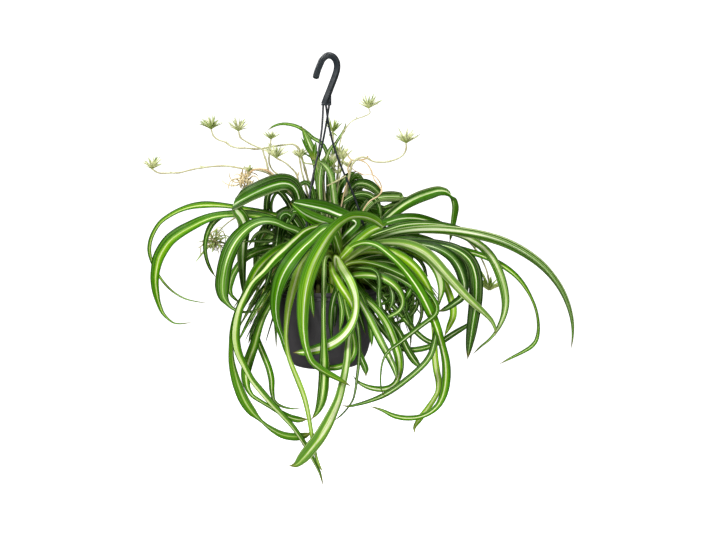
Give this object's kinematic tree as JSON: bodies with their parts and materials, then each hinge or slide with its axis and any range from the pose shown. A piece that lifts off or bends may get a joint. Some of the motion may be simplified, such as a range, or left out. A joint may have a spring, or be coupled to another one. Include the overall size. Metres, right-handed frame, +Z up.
{
  "type": "hanging potted spider plant",
  "caption": "Spider plant with long striped arching leaves and trailing runners in a dark plastic pot, hung from a plastic hook hanger",
  "frame": {"origin": "the top of the inside of the hanging hook, where it bears on a rail", "axes": "+Z up, +X to the right and +Y away from the viewer as the plant hangs"},
  "size_m": [0.5896, 0.4325, 0.583],
  "materials": {
    "leaf": "living leaf, semi-gloss, green with a pale cream stripe",
    "runner": "pale straw-coloured flower stalk with small green leaves",
    "crown": "packed leaf bases, pale at the foot",
    "soil": "damp peat potting mix",
    "pot": "moulded, satin",
    "hanger": "moulded, satin, slate grey"
  },
  "bodies": {
    "root": {"pot": "pot", "soil": "soil", "crown": "crown", "hanger_hook": "hanger", "hanger_arm_left_front": "hanger", "hanger_arm_right": "hanger", "hanger_arm_left_rear": "hanger", "leaf_left_outer_arch": "leaf", "leaf_left_broad_arch": "leaf", "leaf_left_folded": "leaf", "leaf_left_front_hook": "leaf", "leaf_left_inner_hook": "leaf", "leaf_left_back_slim": "leaf", "leaf_front_longest": "leaf", "leaf_left_lower_outer": "leaf", "leaf_left_lower_bright": "leaf", "leaf_left_lower_slim": "leaf", "leaf_front_left_broad": "leaf", "leaf_front_pale_long": "leaf", "leaf_front_centre_folded": "leaf", "leaf_front_small_hook": "leaf", "leaf_front_drop": "leaf", "leaf_front_curl": "leaf", "leaf_front_olive_long": "leaf", "leaf_top_flat_folded": "leaf", "leaf_right_front_slope": "leaf", "leaf_right_front_hook": "leaf", "leaf_right_short_curl": "leaf", "leaf_right_long_curl": "leaf", "leaf_right_pale_drop": "leaf", "leaf_right_yellow_green": "leaf", "leaf_right_cream": "leaf", "leaf_right_underside_up": "leaf", "leaf_right_longest": "leaf", "leaf_right_far_hook": "leaf", "leaf_right_pale_hook": "leaf", "leaf_right_dark_drop": "leaf", "leaf_right_dark_hook": "leaf", "leaf_right_kinked": "leaf", "leaf_right_low_sweep": "leaf", "runner_far_left_with_plantlet": "runner", "runner_left_upper_with_plantlet": "runner", "runner_left_inner_with_plantlet": "runner", "runner_left_branched_with_plantlets": "runner", "runner_top_right_with_plantlet": "runner", "runner_right_with_plantlet": "runner", "runner_with_dried_plantlet": "runner", "runner_upright_with_plantlets": "runner", "runner_hanging_with_plantlet": "runner", "leaf_behind_01": "leaf", "leaf_behind_02": "leaf", "leaf_behind_03": "leaf", "leaf_behind_04": "leaf", "leaf_behind_05": "leaf", "leaf_behind_06": "leaf", "leaf_behind_07": "leaf", "leaf_behind_08": "leaf", "leaf_behind_11": "leaf", "leaf_behind_09": "leaf", "leaf_behind_10": "leaf"}
  },
  "joints": []
}
